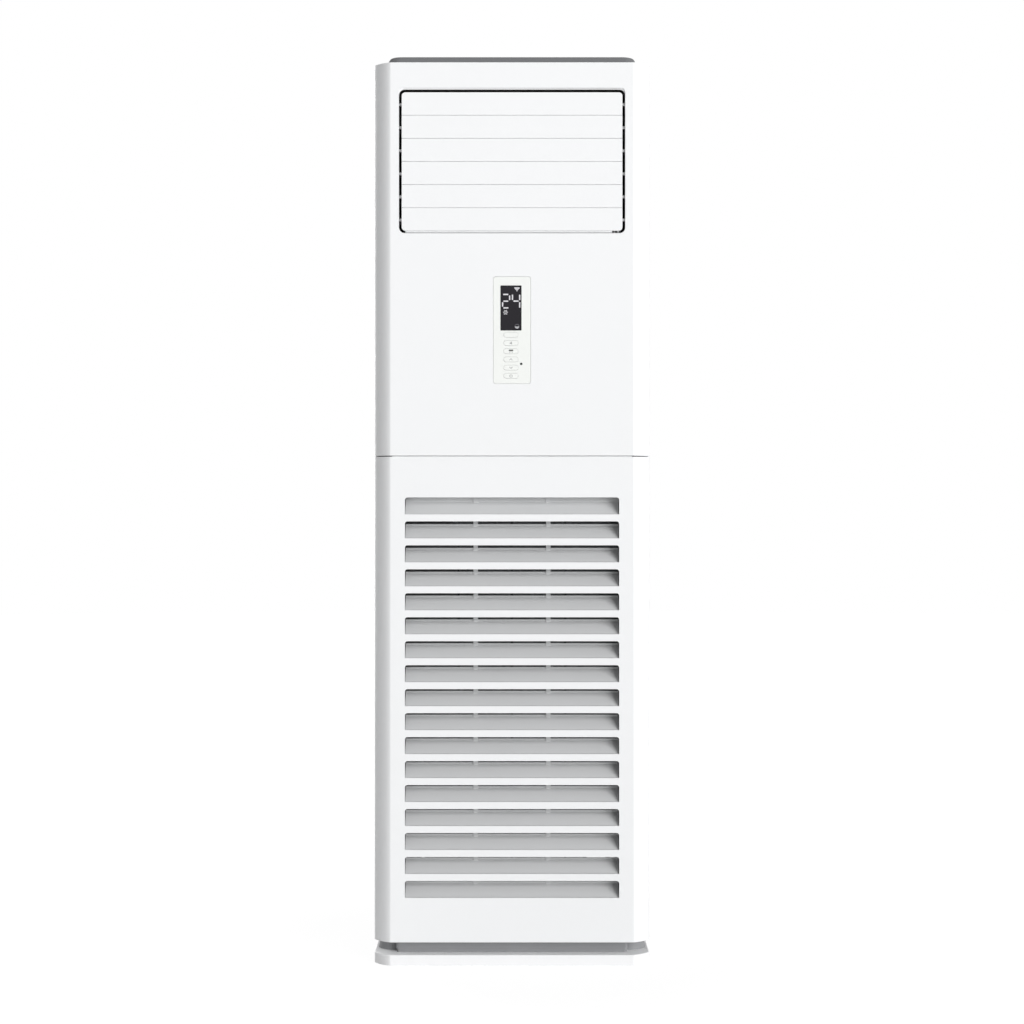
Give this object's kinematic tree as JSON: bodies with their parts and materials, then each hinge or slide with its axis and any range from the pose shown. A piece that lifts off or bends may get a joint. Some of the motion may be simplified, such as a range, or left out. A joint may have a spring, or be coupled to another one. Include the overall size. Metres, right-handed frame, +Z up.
{
  "type": "floor standing air conditioner",
  "caption": "Tall white cabinet air conditioner with a turning louvre outlet on top, a display panel and a slatted intake below.",
  "frame": {"origin": "centre of the base plate's underside, on the floor", "axes": "+Z up, +X to the right seen from the front, the front faces -Y"},
  "size_m": [0.54, 0.4, 1.78],
  "materials": {
    "white_plastic": "moulded white, light satin",
    "white_steel": "powder-coated sheet, satin",
    "grey_plastic": "moulded dark grey, matt",
    "grey_steel": "painted grey sheet, matt",
    "bezel_plastic": "moulded white, half gloss",
    "display_black": "smoked window, gloss",
    "board_green": "lacquered circuit board",
    "galvanised": "galvanised sheet",
    "bright_steel": "plated steel",
    "black_plastic": "moulded, matt",
    "wheel_plastic": "moulded grey, matt",
    "motor_grey": "painted steel shell",
    "coil_aluminium": "thin hydrophilic fins",
    "copper": "drawn copper tube",
    "foam_white": "moulded foam and plastic",
    "hose_plastic": "soft ribbed hose",
    "black_rubber": "moulded rubber"
  },
  "bodies": {
    "cabinet": {"base_plate": "white_steel", "plinth": "grey_steel", "side_panel_left": "white_steel", "side_panel_right": "white_steel", "back_panel": "white_steel", "top_panel": "white_steel", "top_cover": "grey_plastic", "wall_bracket": "galvanised", "bracket_screw_1": "bright_steel", "bracket_screw_2": "bright_steel", "pipe_grommet": "black_rubber", "cable_bush": "black_rubber", "upper_front_panel": "white_plastic", "outlet_duct": "black_plastic", "louvre_motor": "black_plastic", "vane_motor": "black_plastic", "control_bezel": "bezel_plastic", "display_window": "display_black", "receiver_lens": "display_black", "display_board": "board_green", "scroll_housing": "galvanised", "scroll_cover": "galvanised", "inlet_plate": "galvanised", "fan_motor": "motor_grey", "motor_bracket": "galvanised", "fan_deck": "galvanised", "drain_pan": "foam_white", "evaporator": "coil_aluminium", "gas_pipe": "copper", "liquid_pipe": "copper", "drain_hose": "hose_plastic", "front_rail": "galvanised", "control_box": "galvanised", "control_box_cover": "galvanised", "terminal_block": "black_plastic"},
    "intake": {"lower_front_panel": "white_plastic", "filter_frame": "black_plastic"},
    "fan": {"fan_wheel": "wheel_plastic", "fan_shaft": "bright_steel"},
    "louvre_1": {"louvre_1": "white_plastic"},
    "louvre_2": {"louvre_2": "white_plastic"},
    "louvre_3": {"louvre_3": "white_plastic"},
    "louvre_4": {"louvre_4": "white_plastic"},
    "louvre_5": {"louvre_5": "white_plastic"},
    "louvre_6": {"louvre_6": "white_plastic"},
    "louvre_link": {"louvre_link": "white_plastic"},
    "vane_1": {"vane_1": "white_plastic"},
    "vane_2": {"vane_2": "white_plastic"},
    "vane_3": {"vane_3": "white_plastic"},
    "vane_4": {"vane_4": "white_plastic"},
    "vane_5": {"vane_5": "white_plastic"},
    "vane_6": {"vane_6": "white_plastic"},
    "vane_7": {"vane_7": "white_plastic"},
    "vane_link": {"vane_link": "white_plastic"},
    "button_1": {"button_1": "bezel_plastic"},
    "button_2": {"button_2": "bezel_plastic"},
    "button_3": {"button_3": "bezel_plastic"},
    "button_4": {"button_4": "bezel_plastic"},
    "button_5": {"button_5": "bezel_plastic"},
    "button_6": {"button_6": "bezel_plastic"}
  },
  "joints": [
    {"name": "intake_slide", "type": "slide", "parent": "cabinet", "child": "intake", "axis": [0, -1, 0], "range_m": [0, 0.15]},
    {"name": "fan_spin", "type": "hinge", "parent": "cabinet", "child": "fan", "pos_m": [0, 0.03, 0.45], "axis": [0, -1, 0], "continuous": true},
    {"name": "louvre_1_turn", "type": "hinge", "parent": "cabinet", "child": "louvre_1", "pos_m": [0, -0.19, 1.68145], "axis": [1, 0, 0], "range_deg": [0, 80]},
    {"name": "louvre_2_turn", "type": "hinge", "parent": "cabinet", "child": "louvre_2", "pos_m": [0, -0.19, 1.63635], "axis": [1, 0, 0], "range_deg": [0, 80]},
    {"name": "louvre_3_turn", "type": "hinge", "parent": "cabinet", "child": "louvre_3", "pos_m": [0, -0.19, 1.59125], "axis": [1, 0, 0], "range_deg": [0, 80]},
    {"name": "louvre_4_turn", "type": "hinge", "parent": "cabinet", "child": "louvre_4", "pos_m": [0, -0.19, 1.54615], "axis": [1, 0, 0], "range_deg": [0, 80]},
    {"name": "louvre_5_turn", "type": "hinge", "parent": "cabinet", "child": "louvre_5", "pos_m": [0, -0.19, 1.50105], "axis": [1, 0, 0], "range_deg": [0, 80]},
    {"name": "louvre_6_turn", "type": "hinge", "parent": "cabinet", "child": "louvre_6", "pos_m": [0, -0.19, 1.45595], "axis": [1, 0, 0], "range_deg": [0, 80]},
    {"name": "louvre_link_turn", "type": "hinge", "parent": "louvre_1", "child": "louvre_link", "pos_m": [0.2008, -0.174, 1.65845], "axis": [1, 0, 0], "range_deg": [-80, 0]},
    {"name": "vane_1_turn", "type": "hinge", "parent": "cabinet", "child": "vane_1", "pos_m": [-0.16537, -0.112, 1.5687], "axis": [0, 0, 1], "range_deg": [-40, 40]},
    {"name": "vane_2_turn", "type": "hinge", "parent": "cabinet", "child": "vane_2", "pos_m": [-0.11025, -0.112, 1.5687], "axis": [0, 0, 1], "range_deg": [-40, 40]},
    {"name": "vane_3_turn", "type": "hinge", "parent": "cabinet", "child": "vane_3", "pos_m": [-0.05513, -0.112, 1.5687], "axis": [0, 0, 1], "range_deg": [-40, 40]},
    {"name": "vane_4_turn", "type": "hinge", "parent": "cabinet", "child": "vane_4", "pos_m": [0, -0.112, 1.5687], "axis": [0, 0, 1], "range_deg": [-40, 40]},
    {"name": "vane_5_turn", "type": "hinge", "parent": "cabinet", "child": "vane_5", "pos_m": [0.05513, -0.112, 1.5687], "axis": [0, 0, 1], "range_deg": [-40, 40]},
    {"name": "vane_6_turn", "type": "hinge", "parent": "cabinet", "child": "vane_6", "pos_m": [0.11025, -0.112, 1.5687], "axis": [0, 0, 1], "range_deg": [-40, 40]},
    {"name": "vane_7_turn", "type": "hinge", "parent": "cabinet", "child": "vane_7", "pos_m": [0.16537, -0.112, 1.5687], "axis": [0, 0, 1], "range_deg": [-40, 40]},
    {"name": "vane_link_turn", "type": "hinge", "parent": "vane_1", "child": "vane_link", "pos_m": [-0.16537, -0.074, 1.5687], "axis": [0, 0, 1], "range_deg": [-40, 40]},
    {"name": "button_1_press", "type": "slide", "parent": "cabinet", "child": "button_1", "axis": [0, 1, 0], "range_m": [0, 0.001], "stiffness_N_per_m": 300},
    {"name": "button_2_press", "type": "slide", "parent": "cabinet", "child": "button_2", "axis": [0, 1, 0], "range_m": [0, 0.001], "stiffness_N_per_m": 300},
    {"name": "button_3_press", "type": "slide", "parent": "cabinet", "child": "button_3", "axis": [0, 1, 0], "range_m": [0, 0.001], "stiffness_N_per_m": 300},
    {"name": "button_4_press", "type": "slide", "parent": "cabinet", "child": "button_4", "axis": [0, 1, 0], "range_m": [0, 0.001], "stiffness_N_per_m": 300},
    {"name": "button_5_press", "type": "slide", "parent": "cabinet", "child": "button_5", "axis": [0, 1, 0], "range_m": [0, 0.001], "stiffness_N_per_m": 300},
    {"name": "button_6_press", "type": "slide", "parent": "cabinet", "child": "button_6", "axis": [0, 1, 0], "range_m": [0, 0.001], "stiffness_N_per_m": 300}
  ],
  "couplings": [
    {"joint": "louvre_2_turn", "follows": "louvre_1_turn", "ratio": 1},
    {"joint": "louvre_3_turn", "follows": "louvre_1_turn", "ratio": 1},
    {"joint": "louvre_4_turn", "follows": "louvre_1_turn", "ratio": 1},
    {"joint": "louvre_5_turn", "follows": "louvre_1_turn", "ratio": 1},
    {"joint": "louvre_6_turn", "follows": "louvre_1_turn", "ratio": 1},
    {"joint": "louvre_link_turn", "follows": "louvre_1_turn", "ratio": -1},
    {"joint": "vane_2_turn", "follows": "vane_1_turn", "ratio": 1},
    {"joint": "vane_3_turn", "follows": "vane_1_turn", "ratio": 1},
    {"joint": "vane_4_turn", "follows": "vane_1_turn", "ratio": 1},
    {"joint": "vane_5_turn", "follows": "vane_1_turn", "ratio": 1},
    {"joint": "vane_6_turn", "follows": "vane_1_turn", "ratio": 1},
    {"joint": "vane_7_turn", "follows": "vane_1_turn", "ratio": 1},
    {"joint": "vane_link_turn", "follows": "vane_1_turn", "ratio": -1}
  ]
}
